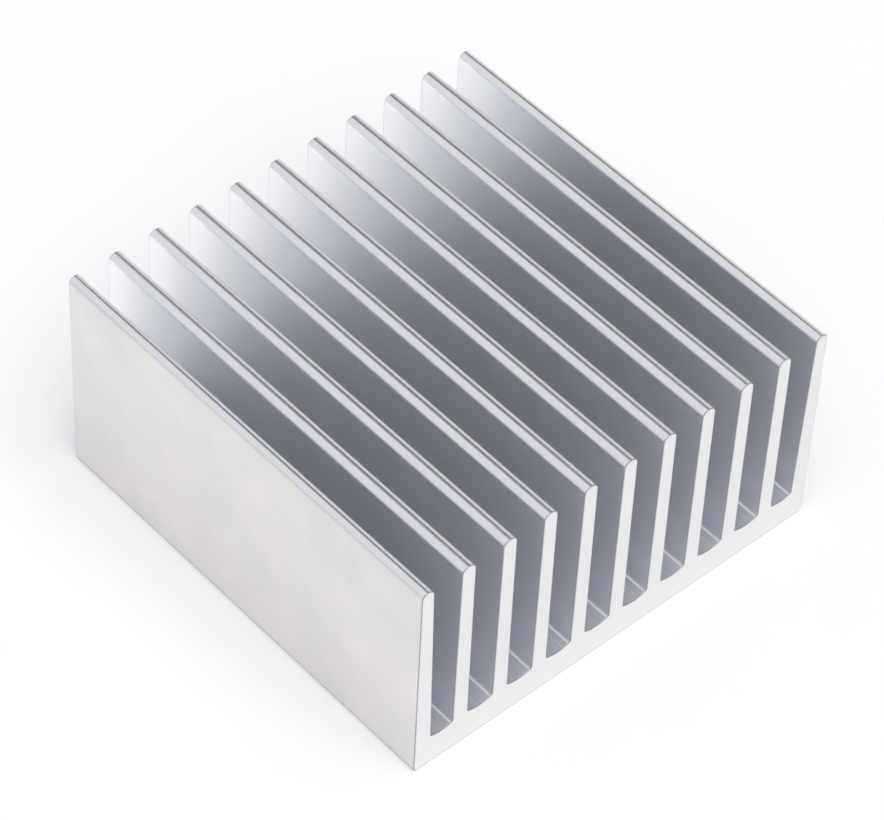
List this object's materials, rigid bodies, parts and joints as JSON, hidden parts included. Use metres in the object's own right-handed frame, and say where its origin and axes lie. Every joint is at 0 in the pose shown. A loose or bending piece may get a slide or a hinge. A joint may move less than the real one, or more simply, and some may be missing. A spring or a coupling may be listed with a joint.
{
  "type": "extruded heat sink",
  "caption": "Square extruded aluminium heat sink: a flat base with a comb of straight, slightly tapered fins, for cooling a chip or power device.",
  "frame": {"origin": "centre of the flat underside, which is what touches the device to be cooled", "axes": "+Z from the underside towards the fin tips, +Y along the extrusion and the fins, +X across the fins"},
  "size_m": [0.04, 0.04, 0.02],
  "materials": {
    "aluminium": "mill-finish extruded, saw-cut ends"
  },
  "bodies": {
    "root": {"heat_sink": "aluminium"}
  },
  "joints": []
}
